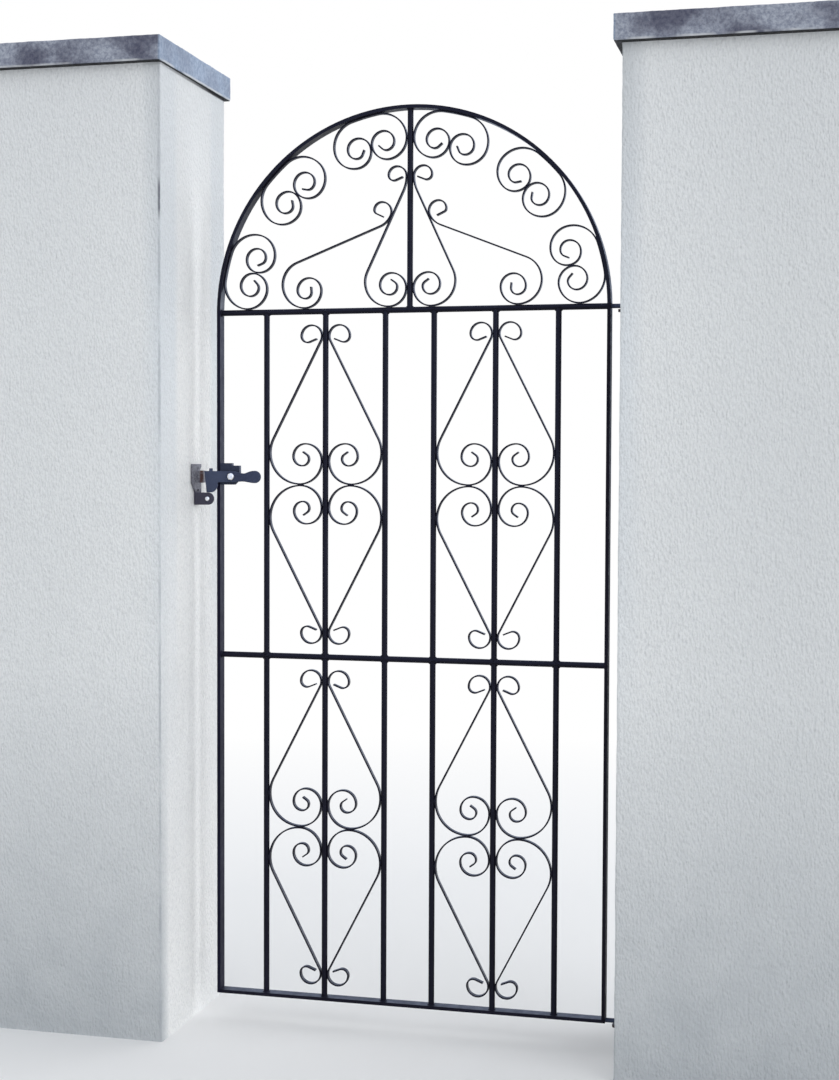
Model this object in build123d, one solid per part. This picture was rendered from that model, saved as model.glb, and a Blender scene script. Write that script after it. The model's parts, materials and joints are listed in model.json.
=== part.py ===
from build123d import *
import math
import os

# A bow-top wrought-iron garden gate hung between two rendered masonry piers.
# X runs across the gateway, Y runs from the front to the back, Z is up.
# The origin is on the ground, midway between the piers and midway through their depth.

# Gateway and piers. The piers differ a little in height, and so do their copings' reach over the gateway
leaf_width = 819.0
latch_side_gap = 47.5
hinge_side_gap = 41.5
overall_width = 1814.0
pier_depth = 365.0
left_pier_height = 1950.0
right_pier_height = 1938.0
coping_thickness = 51.0
coping_overhang = 20.0
left_coping_reach = 7.0
right_coping_reach = 14.5
coping_edge_round = 4.0
gate_setback = 200.0

# Gate leaf: stiles, bottom rail and bow of flat bar on edge, rails and infill of round bar
frame_thickness = 7.0
frame_depth = 25.0
round_bar = 12.0
panel_pitch = 710.4
ground_clearance = 50.0
narrow_space = 101.5

# Scrollwork: flat bar standing on edge, bent in the plane of the gate
strip_thickness = 3.0
strip_depth = 10.0
weld_gap = 0.1
curl_drop = 22.0
panel_shoulder_radius = 22.0
panel_curl = (22.0, 22.0, 13.0, 112.0)
panel_loose_ratios = (0.74, 0.55, 0.405, 0.3, 0.222, 0.164)
panel_tight_ratios = (0.7, 0.5, 0.41, 0.29, 0.21, 0.16)
tail_length = 16.0
flick_turn = 55.0
flick_length = 10.0

# Arch scrolls: radii and places as shares of the bow's inner radius
c_ratios = (0.1292, 0.1056, 0.0820, 0.0646, 0.0547, 0.0447, 0.0311)
inner_ratios = (0.1242, 0.0907, 0.0770, 0.0596, 0.0497, 0.0398, 0.0273)
outer_ratios = (0.1193, 0.0870, 0.0646, 0.0621, 0.0422, 0.0323, 0.0248)
inner_shoulder_ratio = 0.1739
inner_curl_ratios = (0.0497, 0.0435, 0.0273)
inner_tail_turn = 112.0
outer_shoulder_ratio = 0.0994
outer_curl_ratios = (0.0497, 0.0398, 0.0199)
outer_tail_turn = 65.0
outer_flick_turn = 5.0
inner_contact_ratio = 0.6683
outer_contact_ratio = 0.4683
outer_offset_ratio = 0.5516

# Hinges: a pin on the leaf turns down through an eye that stands out from the pier
hinge_pin_radius = 4.5
hinge_bend_radius = 6.5
hinge_pin_drop = 38.0
hinge_axis_from_leaf = 24.0
hinge_running_gap = 0.08
bearing_gap = 0.3
eye_outer_radius = 11.0
eye_thickness = 5.0
eye_shank_width = 8.0
eye_plate_size = 36.0
eye_plate_thickness = 4.0

# Latch lever, drawn from its pivot: X to the handle, Z up
latch_height = 1081.7
latch_pivot_from_stile = 27.5
lever_thickness = 5.0
lever_half_height = 11.5
neck_place = (28.5, 6.8)
paddle_top = (50.0, 12.2)
paddle_end = (64.0, -0.6)
paddle_bottom = (51.0, -13.2)
neck_underside = (28.5, -10.3)
beak_top_left = (-59.0, 10.5)
beak_bottom_left = (-54.0, -33.0)
beak_toe = (-43.0, -33.0)
beak_heel = (-32.5, -25.0)
beak_throat = (-30.0, -12.0)
nub_left = -48.5
nub_right = -41.5
nub_height = 5.5

# Latch bracket, welded to the inner face of the latch stile behind the lever
bracket_depth = 12.0
bracket_low = 16.7
bracket_high = 28.0
bracket_step = 5.0
bracket_step_place = -1.8
bracket_reach = 14.5
bracket_bevel = 11.5

# Latch bolts
spacer_length = 5.0
latch_bolt_radius = 4.0
latch_bolt_gap = 0.08
latch_bolt_head_radius = 7.3
latch_bolt_head_height = 5.0
latch_nut_height = 6.0
keeper_bolt_radius = 3.0
keeper_bolt_head_radius = 4.6
keeper_bolt_head_height = 3.5

# Keeper on the reveal of the pier
keeper_thickness = 3.0
keeper_front = -21.0
keeper_back = 31.0
keeper_top = 25.8
keeper_notch_top = 20.5
keeper_notch_low = 13.0
keeper_notch_depth = 8.0
keeper_tab_reach = 26.0
keeper_taper_start = -13.7
keeper_bottom = -58.8
keeper_lug_front = -3.0
keeper_lug_thickness = 6.0
keeper_lug_reach = 42.3
keeper_leg_front = 5.0
keeper_leg_thickness = 7.0
keeper_leg_reach = 16.0
keeper_leg_top = 12.0
keeper_leg_low = -13.0

# Places worked out from the sizes above
left_reveal_x = -leaf_width / 2 - latch_side_gap
right_reveal_x = leaf_width / 2 + hinge_side_gap
half_flat = frame_thickness / 2
half_frame_depth = frame_depth / 2
half_round = round_bar / 2
stile_x = leaf_width / 2 - half_flat
stile_inner_x = stile_x - half_flat
gate_y = -pier_depth / 2 + gate_setback
leaf_front_y = gate_y - half_frame_depth
bottom_rail_z = ground_clearance + half_flat
middle_rail_z = bottom_rail_z + panel_pitch
top_rail_z = middle_rail_z + panel_pitch
scroll_bay = (2 * stile_x - 3 * narrow_space) / 4
bar_xs = [
    -stile_x + narrow_space,
    -stile_x + narrow_space + scroll_bay,
    -narrow_space / 2,
    narrow_space / 2,
    stile_x - narrow_space - scroll_bay,
    stile_x - narrow_space,
]
half_strip = strip_thickness / 2
seat = half_strip + weld_gap
bow_radius = stile_inner_x
hinge_x = leaf_width / 2 + hinge_axis_from_leaf
latch_z = bottom_rail_z + latch_height
latch_x = -stile_inner_x + latch_pivot_from_stile

os.makedirs("parts", exist_ok=True)


def save(name, shape):
    """Writes one piece, or like pieces that share a node, to its STEP file."""
    export_step(shape, f"parts/{name}.step")


def block(x_range, y_range, z_range):
    """A plain block between two corners."""
    size = [high - low for low, high in (x_range, y_range, z_range)]
    middle = [(high + low) / 2 for low, high in (x_range, y_range, z_range)]
    return Pos(*middle) * Box(*size)


def upright_plate(profile, low_y, high_y):
    """Extrudes a face drawn in X and Z from low_y to high_y."""
    plate = extrude(Plane.XZ * profile, amount=(high_y - low_y) / 2, both=True)
    return Pos(0, (low_y + high_y) / 2, 0) * plate


def rod_along_y(x, z, radius, low_y, high_y):
    """A round rod that runs from front to back."""
    return Pos(x, (low_y + high_y) / 2, z) * Rot(90, 0, 0) * Cylinder(radius, high_y - low_y)


# Piers and copings
def pier(side, reveal_x, height):
    x_range = sorted((reveal_x, side * overall_width / 2))
    return block(x_range, (-pier_depth / 2, pier_depth / 2), (0, height))


def coping(side, reveal_x, height, gateway_reach):
    """A slab that oversails the pier in front, behind and over the gateway."""
    x_range = sorted((reveal_x - side * gateway_reach, side * overall_width / 2))
    reach = pier_depth / 2 + coping_overhang
    slab = block(x_range, (-reach, reach), (height, height + coping_thickness))
    top_edges = slab.faces().sort_by(Axis.Z)[-1].edges()
    return fillet(top_edges, coping_edge_round)


for name, side, reveal_x, height, gateway_reach in (
    ("left", -1, left_reveal_x, left_pier_height, left_coping_reach),
    ("right", 1, right_reveal_x, right_pier_height, right_coping_reach),
):
    save(f"{name}_pier", pier(side, reveal_x, height))
    save(f"{name}_coping", coping(side, reveal_x, height, gateway_reach))

# Frame of the leaf
frame_y_range = (gate_y - half_frame_depth, gate_y + half_frame_depth)
bow_start_z = top_rail_z + half_round


def stile(side):
    x_range = (side * stile_x - half_flat, side * stile_x + half_flat)
    return block(x_range, frame_y_range, (bottom_rail_z - half_flat, bow_start_z))


def bow():
    """The half ring that runs on from both stiles over the top rail."""
    ring = Circle(stile_x + half_flat) - Circle(stile_inner_x)
    ring = Pos(0, top_rail_z) * ring
    above_stiles = Pos(0, bow_start_z + leaf_width / 2) * Rectangle(2 * leaf_width, leaf_width)
    return upright_plate(ring & above_stiles, *frame_y_range)


def round_rail(z, radius=half_round):
    return Pos(0, gate_y, z) * Rot(0, 90, 0) * Cylinder(radius, 2 * stile_inner_x)


def upright(x, low, high):
    """A round bar whose ends are cut to fit the round rails."""
    bar = Pos(x, gate_y, (low + high) / 2) * Cylinder(half_round, high - low)
    for rail_z in (middle_rail_z, top_rail_z):
        bar = bar - round_rail(rail_z, half_round + weld_gap)
    return bar


bottom_rail_z_range = (bottom_rail_z - half_flat, bottom_rail_z + half_flat)
save("bottom_rail", block((-stile_inner_x, stile_inner_x), frame_y_range, bottom_rail_z_range))
save("middle_rail", round_rail(middle_rail_z))
save("top_rail", round_rail(top_rail_z))
save("latch_stile", stile(-1))
save("hinge_stile", stile(1))
save("bow", bow())

for number, x in enumerate(bar_xs, start=1):
    lower = upright(x, bottom_rail_z + half_flat, middle_rail_z)
    upper = upright(x, middle_rail_z, top_rail_z)
    save(f"bar_{number}", Compound(children=[lower, upper]))

# The centre bar fits the inside of the bow
under_bow = Pos(0, gate_y, top_rail_z) * Rot(90, 0, 0) * Cylinder(stile_inner_x - weld_gap, frame_depth)
save("centre_bar", upright(0, top_rail_z, top_rail_z + stile_x) & under_bow)


# Scrollwork
def strip_edges(start, heading, moves, offset):
    """Edges of one face of the strip. A move is (length, 0) or (radius, degrees to the left)."""
    direction = Vector(math.cos(math.radians(heading)), math.sin(math.radians(heading)))
    point = Vector(*start) + direction.rotate(Axis.Z, 90) * offset
    edges = []
    for size, turn in moves:
        if turn == 0:
            edge = Line(point, point + direction * size)
        else:
            radius = size - offset * math.copysign(1, turn)
            edge = JernArc(point, direction, radius, turn)
        point, direction = edge @ 1, edge % 1
        edges.append(edge)
    return edges


def strip(start, heading, moves):
    """Flat bar on edge that follows the moves in X and Z."""
    left = strip_edges(start, heading, moves, half_strip)
    right = strip_edges(start, heading, moves, -half_strip)
    caps = [Line(left[0] @ 0, right[0] @ 0), Line(left[-1] @ 1, right[-1] @ 1)]
    outline = Wire(left + right + caps)
    return upright_plate(Face(outline), gate_y - strip_depth / 2, gate_y + strip_depth / 2)


def spiral_moves(radii, first_turn, last_turn=flick_turn):
    """Clockwise quarter turns that tighten, and a short flick at the end."""
    moves = [(radii[0], -first_turn)]
    moves += [(radius, -90) for radius in radii[1:-1]]
    return moves + [(radii[-1], -last_turn), (flick_length, 0)]


def s_scroll(shoulder, shoulder_radius, lean, curl, belly, radii, last_turn=flick_turn):
    """A small curl, a shoulder, a straight and a large spiral that turns the other way.

    The shoulder's centre is up and to the left of the centre of the spiral's first turn.
    Where the shoulder meets the curl, the strip leans from the vertical by this angle.
    A curl has the radii of its side, its top and its tail, and the turn of its tail.
    """
    span = math.dist(shoulder, belly)
    slope = math.degrees(math.atan2(shoulder[1] - belly[1], shoulder[0] - belly[0]))
    normal = slope - math.degrees(math.acos((shoulder_radius + radii[0]) / span))
    straight = math.sqrt(span**2 - (shoulder_radius + radii[0]) ** 2)
    out = (math.cos(math.radians(normal)), math.sin(math.radians(normal)))
    leave = (shoulder[0] - out[0] * shoulder_radius, shoulder[1] - out[1] * shoulder_radius)
    heading = normal - 90
    body = [(straight, 0)] + spiral_moves(radii, 90 + normal, last_turn)
    side_radius, top_radius, tail_radius, tail_turn = curl
    curl_moves = [
        (shoulder_radius, lean - normal),
        (side_radius, -90 - lean),
        (top_radius, -90),
        (tail_radius, -tail_turn),
        (tail_length, 0),
    ]
    return leave, heading, curl_moves, body


def long_strip(leave, heading, curl_moves, body):
    """Joins the curl and the spiral into one strip that starts at the curl's free end."""
    point = Vector(*leave)
    back_heading = math.radians(heading + 180)
    direction = Vector(math.cos(back_heading), math.sin(back_heading))
    for size, turn in curl_moves:
        if turn == 0:
            edge = Line(point, point + direction * size)
        else:
            edge = JernArc(point, direction, size, turn)
        point, direction = edge @ 1, edge % 1
    start_heading = math.degrees(math.atan2(-direction.Y, -direction.X))
    reversed_curl = [(size, -turn) for size, turn in reversed(curl_moves)]
    return strip((point.X, point.Y), start_heading, reversed_curl + body)


# Panel scrolls: a mirrored pair on bars 2 and 5, above and below the middle of each panel
bay_clear = scroll_bay - round_bar - 2 * seat
half_panel = (panel_pitch - round_bar) / 2


def panel_pair(ratios):
    """A mirrored pair above the middle of a panel, with their bar at X 0 and that middle at Z 0."""
    first_radius = bay_clear / (1 + ratios[0])
    radii = [first_radius] + [first_radius * ratio for ratio in ratios]
    shoulder = (half_round + seat + panel_shoulder_radius, half_panel - curl_drop - panel_curl[1])
    belly = (scroll_bay - half_round - seat - first_radius, seat + first_radius)
    parts = s_scroll(shoulder, panel_shoulder_radius, 0, panel_curl, belly, radii)
    scroll = long_strip(*parts)
    return [scroll, mirror(scroll, about=Plane.YZ)]


# The spirals at the top of the upper panels are wound a little looser than the others
loose_pair = panel_pair(panel_loose_ratios)
tight_pair = panel_pair(panel_tight_ratios)
bottom_pair = [mirror(scroll, about=Plane.XY) for scroll in tight_pair]
for bar, side_name in ((1, "left"), (4, "right")):
    for rail_z, panel_name, top_pair in (
        (middle_rail_z, "upper", loose_pair),
        (bottom_rail_z, "lower", tight_pair),
    ):
        place = Pos(bar_xs[bar], 0, rail_z + panel_pitch / 2)
        for pair, end_name in ((top_pair, "top"), (bottom_pair, "bottom")):
            node = f"{panel_name}_{side_name}_panel_{end_name}_scrolls"
            save(node, Compound(children=[place * scroll for scroll in pair]))

# Arch scrolls: C shapes that back on to the bow, placed by the angle of their middle
c_scroll_radii = [bow_radius * ratio for ratio in c_ratios]
back_radius = bow_radius - seat
first, second, third = c_scroll_radii[:3]
back_sine = (seat + second + third - first) / (back_radius - first)
back_angle = math.degrees(math.asin(back_sine))
turn_centre = (
    (back_radius - first) * math.cos(math.radians(back_angle)),
    (back_radius - first) * back_sine + first - second,
)
turn_distance = math.hypot(*turn_centre)
turn_angle = math.degrees(math.atan2(turn_centre[1], turn_centre[0]))
low_angle = turn_angle + math.degrees(math.asin((half_round + seat + second) / turn_distance))
high_angle = 90 - low_angle
middle_angle = 45.0


def c_scroll(angle):
    """One C scroll on the right half of the bow, its middle at this angle above the rail."""
    body = [(back_radius, -back_angle)] + spiral_moves(c_scroll_radii, 90 - back_angle)
    lower_half = strip((back_radius, 0), -90, body)
    upper_half = mirror(lower_half, about=Plane.XY)
    whole = Rot(0, -angle, 0) * (lower_half + upper_half)
    return Pos(0, 0, top_rail_z) * whole


for angle, name in ((low_angle, "low"), (middle_angle, "middle"), (high_angle, "high")):
    right_scroll = c_scroll(angle)
    save(f"arch_{name}_scroll_right", right_scroll)
    save(f"arch_{name}_scroll_left", mirror(right_scroll, about=Plane.YZ))

# Long arch scrolls: the inner pair leans on the centre bar, the outer pair on the inner pair
rail_top = half_round + seat
inner_scroll_radii = [bow_radius * ratio for ratio in inner_ratios]
inner_shoulder_radius = bow_radius * inner_shoulder_ratio
inner_curl = [bow_radius * ratio for ratio in inner_curl_ratios] + [inner_tail_turn]
inner_shoulder = (half_round + seat + inner_shoulder_radius, bow_radius * inner_contact_ratio)
inner_belly = (half_round + seat + inner_scroll_radii[1], rail_top + inner_scroll_radii[0])
inner_parts = s_scroll(
    inner_shoulder, inner_shoulder_radius, 0, inner_curl, inner_belly, inner_scroll_radii
)
inner_right = Pos(0, 0, top_rail_z) * long_strip(*inner_parts)

# The outer shoulder touches the straight of the inner scroll
inner_leave, inner_heading = inner_parts[0], inner_parts[1]
lean = inner_heading + 90
outer_scroll_radii = [bow_radius * ratio for ratio in outer_ratios]
outer_shoulder_radius = bow_radius * outer_shoulder_ratio
outer_curl = [bow_radius * ratio for ratio in outer_curl_ratios] + [outer_tail_turn]
outer_contact_height = bow_radius * outer_contact_ratio
contact_slide = (inner_leave[1] - outer_contact_height) / math.cos(math.radians(lean))
contact = (
    inner_leave[0] + contact_slide * math.sin(math.radians(lean)),
    outer_contact_height,
)
reach = outer_shoulder_radius + 2 * half_strip + weld_gap
outer_shoulder = (
    contact[0] + reach * math.cos(math.radians(lean)),
    contact[1] + reach * math.sin(math.radians(lean)),
)
outer_belly = (bow_radius * outer_offset_ratio, rail_top + outer_scroll_radii[0])
outer_parts = s_scroll(
    outer_shoulder,
    outer_shoulder_radius,
    lean,
    outer_curl,
    outer_belly,
    outer_scroll_radii,
    outer_flick_turn,
)
outer_right = Pos(0, 0, top_rail_z) * long_strip(*outer_parts)

for shape, name in ((inner_right, "inner"), (outer_right, "outer")):
    save(f"arch_{name}_long_scroll_right", shape)
    save(f"arch_{name}_long_scroll_left", mirror(shape, about=Plane.YZ))


# Hinges
def hinge_pin(z):
    """Round bar that runs out of the hinge stile and turns down through the eye."""
    stile_face = leaf_width / 2
    arm = Line((stile_face, gate_y, z), (hinge_x - hinge_bend_radius, gate_y, z))
    corner = (hinge_x, gate_y, z - hinge_bend_radius)
    bend_middle = hinge_bend_radius * math.sqrt(0.5)
    bend = ThreePointArc(
        arm @ 1,
        (hinge_x - hinge_bend_radius + bend_middle, gate_y, z - hinge_bend_radius + bend_middle),
        corner,
    )
    leg = Line(corner, (hinge_x, gate_y, z - hinge_pin_drop))
    section = Plane(origin=arm @ 0, z_dir=(1, 0, 0)) * Circle(hinge_pin_radius)
    return sweep(section, path=Wire([arm, bend, leg]))


def hinge_eye(z):
    """Eye, shank and wall plate, with the eye just under the bend of the leaf's pin."""
    eye_top = z - hinge_bend_radius - bearing_gap
    eye_z = eye_top - eye_thickness / 2
    ring = Pos(hinge_x, gate_y, eye_z) * Cylinder(eye_outer_radius, eye_thickness)
    plate_face = right_reveal_x - eye_plate_thickness
    shank = block(
        (hinge_x, plate_face),
        (gate_y - eye_shank_width / 2, gate_y + eye_shank_width / 2),
        (eye_top - eye_thickness, eye_top),
    )
    plate = block(
        (plate_face, right_reveal_x),
        (gate_y - eye_plate_size / 2, gate_y + eye_plate_size / 2),
        (eye_z - eye_plate_size / 2, eye_z + eye_plate_size / 2),
    )
    bore_radius = hinge_pin_radius + hinge_running_gap
    bore = Pos(hinge_x, gate_y, eye_z) * Cylinder(bore_radius, 2 * eye_thickness)
    return ring + shank + plate - bore


for z, name in ((top_rail_z, "upper"), (bottom_rail_z, "lower")):
    save(f"{name}_hinge_pin", hinge_pin(z))
    save(f"{name}_hinge_eye", hinge_eye(z))

# Latch
lever_back_y = leaf_front_y - spacer_length
lever_front_y = lever_back_y - lever_thickness
bracket_back_y = leaf_front_y + bracket_depth


def from_pivot(x, z):
    """A point of the latch in gate coordinates."""
    return (latch_x + x, latch_z + z)


def latch_bracket():
    """Block beside the latch stile, with its top corner stepped down and its lower corner bevelled."""
    left = -latch_pivot_from_stile
    step_top = bracket_high - bracket_step
    corners = [
        (left, -bracket_low),
        (bracket_reach - bracket_bevel, -bracket_low),
        (bracket_reach, -bracket_low + bracket_bevel),
        (bracket_reach, step_top),
        (bracket_step_place, step_top),
        (bracket_step_place, bracket_high),
        (left, bracket_high),
    ]
    outline = Polyline(*[from_pivot(*corner) for corner in corners], close=True)
    plate = upright_plate(make_face(outline), leaf_front_y, bracket_back_y)
    return plate - rod_along_y(latch_x, latch_z, latch_bolt_radius, leaf_front_y, bracket_back_y)


def latch_lever():
    """Lever with a rounded paddle, a waist, and a beak that drops on to the keeper's lug."""
    top_left = (beak_top_left[0], lever_half_height)
    above_pivot = (0, lever_half_height)
    below_pivot = (0, -lever_half_height)
    outline = [
        Line(from_pivot(*top_left), from_pivot(*above_pivot)),
        Spline(
            *[from_pivot(*place) for place in (above_pivot, neck_place, paddle_top)],
            tangents=[(1, 0), (1, 0)],
        ),
        ThreePointArc(*[from_pivot(*place) for place in (paddle_top, paddle_end, paddle_bottom)]),
        Spline(
            *[from_pivot(*place) for place in (paddle_bottom, neck_underside, below_pivot)],
            tangents=[(-1, 0), (-1, 0)],
        ),
        Line(from_pivot(*below_pivot), from_pivot(*beak_throat)),
        Spline(*[from_pivot(*place) for place in (beak_throat, beak_heel, beak_toe)]),
        Line(from_pivot(*beak_toe), from_pivot(*beak_bottom_left)),
        Line(from_pivot(*beak_bottom_left), from_pivot(*top_left)),
    ]
    plate = upright_plate(Face(Wire(outline)), lever_front_y, lever_back_y)
    nub = block(
        (latch_x + nub_left, latch_x + nub_right),
        (lever_front_y, lever_back_y),
        (latch_z + lever_half_height / 2, latch_z + lever_half_height + nub_height),
    )
    hole_radius = latch_bolt_radius + latch_bolt_gap
    return plate + nub - rod_along_y(latch_x, latch_z, hole_radius, lever_front_y, lever_back_y)


def latch_bolt():
    """Bright bolt through the lever and the bracket, with a spacer between them and a nut behind."""
    head_back = lever_front_y - bearing_gap
    head_front = head_back - latch_bolt_head_height
    nut_back = bracket_back_y + latch_nut_height
    shank = rod_along_y(latch_x, latch_z, latch_bolt_radius, head_back, nut_back)
    head = rod_along_y(latch_x, latch_z, latch_bolt_head_radius, head_front, head_back)
    head = fillet(head.edges().group_by(Axis.Y)[0], latch_bolt_head_height / 2)
    spacer_front = lever_back_y + bearing_gap
    spacer = rod_along_y(latch_x, latch_z, latch_bolt_head_radius, spacer_front, leaf_front_y)
    nut_profile = Pos(latch_x, latch_z) * RegularPolygon(latch_bolt_head_radius, 6)
    nut = upright_plate(nut_profile, bracket_back_y, nut_back)
    return head + shank + spacer + nut


# The keeper's lug stands out from the pier just under the beak, in front of the swinging stile
lug_back_y = keeper_lug_front + keeper_lug_thickness
lug_top_z = latch_z + beak_toe[1] - bearing_gap
keeper_bottom_z = latch_z + keeper_bottom
lug_radius = (lug_top_z - keeper_bottom_z) / 2
lug_centre_x = left_reveal_x + keeper_lug_reach - lug_radius
lug_centre_z = keeper_bottom_z + lug_radius


def latch_keeper():
    """Plate on the reveal, notched behind and tapered in front, with a leg and a lug that stand out."""
    notch_y = keeper_back - keeper_notch_depth
    tab_y = keeper_back + keeper_tab_reach
    corners = [
        (keeper_front, latch_z + keeper_top),
        (keeper_back, latch_z + keeper_top),
        (keeper_back, latch_z + keeper_notch_top),
        (notch_y, latch_z + keeper_notch_low),
        (tab_y, latch_z + keeper_leg_top),
        (tab_y, latch_z + keeper_leg_low),
        (keeper_back, latch_z + keeper_leg_low),
        (keeper_back, keeper_bottom_z),
        (keeper_lug_front, keeper_bottom_z),
        (keeper_lug_front, lug_top_z),
        (keeper_front, latch_z + keeper_taper_start),
    ]
    outline = Polyline(*corners, close=True)
    plate = Pos(left_reveal_x, 0, 0) * extrude(Plane.YZ * make_face(outline), amount=keeper_thickness)
    tongue_reach = lug_centre_x - left_reveal_x
    tongue = Pos(lug_centre_x - tongue_reach / 2, lug_centre_z) * Rectangle(tongue_reach, 2 * lug_radius)
    tip = Pos(lug_centre_x, lug_centre_z) * Circle(lug_radius)
    lug = upright_plate(tongue + tip, keeper_lug_front, lug_back_y)
    leg = block(
        (left_reveal_x, left_reveal_x + keeper_leg_reach),
        (keeper_leg_front, keeper_leg_front + keeper_leg_thickness),
        (latch_z + keeper_leg_low, latch_z + keeper_leg_top),
    )
    hole = rod_along_y(lug_centre_x, lug_centre_z, keeper_bolt_radius, keeper_lug_front, lug_back_y)
    return plate + lug + leg - hole


def keeper_bolt():
    """Bright bolt through the keeper's lug, with its nut behind."""
    head_depth = keeper_bolt_head_height
    place = (lug_centre_x, lug_centre_z)
    shank = rod_along_y(*place, keeper_bolt_radius, keeper_lug_front, lug_back_y)
    head = rod_along_y(*place, keeper_bolt_head_radius, keeper_lug_front - head_depth, keeper_lug_front)
    head = fillet(head.edges().group_by(Axis.Y)[0], head_depth / 2)
    nut = rod_along_y(*place, keeper_bolt_head_radius, lug_back_y, lug_back_y + head_depth)
    return shank + head + nut


save("latch_bracket", latch_bracket())
save("latch_lever", latch_lever())
save("latch_bolt", latch_bolt())
save("latch_keeper", latch_keeper())
save("keeper_bolt", keeper_bolt())
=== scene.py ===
# %% [markdown]
# # A bow-top garden gate between two rendered piers
#
# The drawing office has already made this gate in CAD: every bar, scroll and pier is a solid with
# real sizes. This lesson gives it its looks. The bars and scrolls keep their CAD shapes and get a
# painted finish. What a drawing leaves out is modelled here: the uneven skin of the render, the
# riven slate, the weld beads, the screws and the softened edges of the forged latch.

# %% Load the frame
import json
import math

import bpy
from mathutils import Matrix, Vector
from mathutils.bvhtree import BVHTree


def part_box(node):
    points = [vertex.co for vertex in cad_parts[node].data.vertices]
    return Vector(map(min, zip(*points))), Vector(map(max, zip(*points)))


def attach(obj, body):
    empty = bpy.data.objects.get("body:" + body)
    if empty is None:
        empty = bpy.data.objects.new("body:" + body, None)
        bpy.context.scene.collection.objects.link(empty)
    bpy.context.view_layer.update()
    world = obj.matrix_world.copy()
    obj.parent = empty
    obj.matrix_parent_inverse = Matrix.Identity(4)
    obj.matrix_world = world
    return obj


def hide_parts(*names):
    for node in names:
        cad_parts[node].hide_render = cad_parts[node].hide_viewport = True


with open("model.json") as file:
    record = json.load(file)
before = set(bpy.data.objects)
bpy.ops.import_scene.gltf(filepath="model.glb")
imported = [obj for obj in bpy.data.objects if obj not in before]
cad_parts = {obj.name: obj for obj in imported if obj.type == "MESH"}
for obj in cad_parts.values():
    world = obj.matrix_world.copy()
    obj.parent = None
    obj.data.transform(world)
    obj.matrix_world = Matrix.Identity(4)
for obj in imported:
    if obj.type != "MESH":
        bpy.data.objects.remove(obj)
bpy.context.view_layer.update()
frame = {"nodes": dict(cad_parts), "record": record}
nodes = frame["nodes"]
bpy.ops.object.select_all(action="DESELECT")

# %% [markdown]
# The camera comes first, because it decides which details matter. It was solved from the gate's
# own bars: it stands 3.4 m in front, well to the right, at chest height, and looks a little to
# the left and slightly down. A camera in Blender looks along its own minus Z, so its axes are
# built from the three angles and then put into its matrix.

# %% Place the camera
camera_place = Vector((0.8793, -3.4327, 1.1510))
yaw = math.radians(13.954)
pitch = math.radians(-2.296)
roll = math.radians(0.235)
photo_width = 839
focal_pixels = 1752.0
sensor_width = 36.0

level_x, level_y = -math.sin(yaw), math.cos(yaw)
forward = Vector((level_x * math.cos(pitch), level_y * math.cos(pitch), math.sin(pitch)))
level_right = Vector((math.cos(yaw), math.sin(yaw), 0))
level_up = level_right.cross(forward)
right = level_right * math.cos(roll) + level_up * math.sin(roll)
up = right.cross(forward)

camera_data = bpy.data.cameras.new("camera")
camera_data.sensor_fit = "HORIZONTAL"
camera_data.sensor_width = sensor_width
camera_data.lens = sensor_width * focal_pixels / photo_width
camera = bpy.data.objects.new("camera", camera_data)
axes = Matrix((right, up, -forward)).transposed().to_4x4()
camera.matrix_world = Matrix.Translation(camera_place) @ axes
bpy.context.collection.objects.link(camera)
bpy.context.scene.camera = camera
bpy.context.scene.view_settings.view_transform = "Standard"
print("lens", round(camera_data.lens, 1), "mm")

# %% [markdown]
# It is a grey day: an even, slightly blue sky does most of the work. Two wide, low suns stand for
# the bright parts of the cloud, one before and one behind the gate. Both come from the right, so
# that they brighten the inner face of the left pier and the right-hand side of every bar. The sky
# has three faces. It lights the gate at a plain level, shiny surfaces mirror it as blue, which
# gives the black paint its blue edge, and only the camera sees it as white paper.

# %% Sky, sun and floor
sky = bpy.data.worlds.new("sky")
sky.use_nodes = True
bpy.context.scene.world = sky
sky_nodes = sky.node_tree.nodes
sky_links = sky.node_tree.links
sky_nodes.clear()
light_path = sky_nodes.new("ShaderNodeLightPath")


def sky_face(colour, strength):
    """One face of the sky."""
    face = sky_nodes.new("ShaderNodeBackground")
    face.inputs["Color"].default_value = (*colour, 1)
    face.inputs["Strength"].default_value = strength
    return face.outputs[0]


def choose(ray, otherwise, chosen):
    """Shows the chosen face to one kind of ray."""
    switch = sky_nodes.new("ShaderNodeMixShader")
    sky_links.new(light_path.outputs[ray], switch.inputs[0])
    sky_links.new(otherwise, switch.inputs[1])
    sky_links.new(chosen, switch.inputs[2])
    return switch.outputs[0]


plain_light = sky_face(colour=(0.96, 0.98, 1.0), strength=0.86)
mirrored_blue = sky_face(colour=(0.66, 0.76, 1.0), strength=1.5)
white_paper = sky_face(colour=(1, 1, 1), strength=1.0)
sky_output = sky_nodes.new("ShaderNodeOutputWorld")
lit_sky = choose("Is Glossy Ray", plain_light, mirrored_blue)
sky_links.new(choose("Is Camera Ray", lit_sky, white_paper), sky_output.inputs["Surface"])


def bright_cloud(name, towards, energy, width):
    """A sun so many degrees wide that its shadows have no edge."""
    cloud_data = bpy.data.lights.new(name, "SUN")
    cloud_data.energy = energy
    cloud_data.angle = math.radians(width)
    cloud = bpy.data.objects.new(name, cloud_data)
    cloud.rotation_euler = Vector(towards).to_track_quat("Z", "Y").to_euler()
    bpy.context.collection.objects.link(cloud)
    return cloud


bright_cloud("cloud_before", towards=(0.8, -0.56, 0.12), energy=1.05, width=55)
bright_cloud("cloud_behind", towards=(0.75, 0.6, 0.12), energy=1.6, width=65)

floor_size = 30
bpy.ops.mesh.primitive_plane_add(size=floor_size, location=(0, 0, 0))
floor = bpy.context.object
floor.name = "floor"

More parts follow.
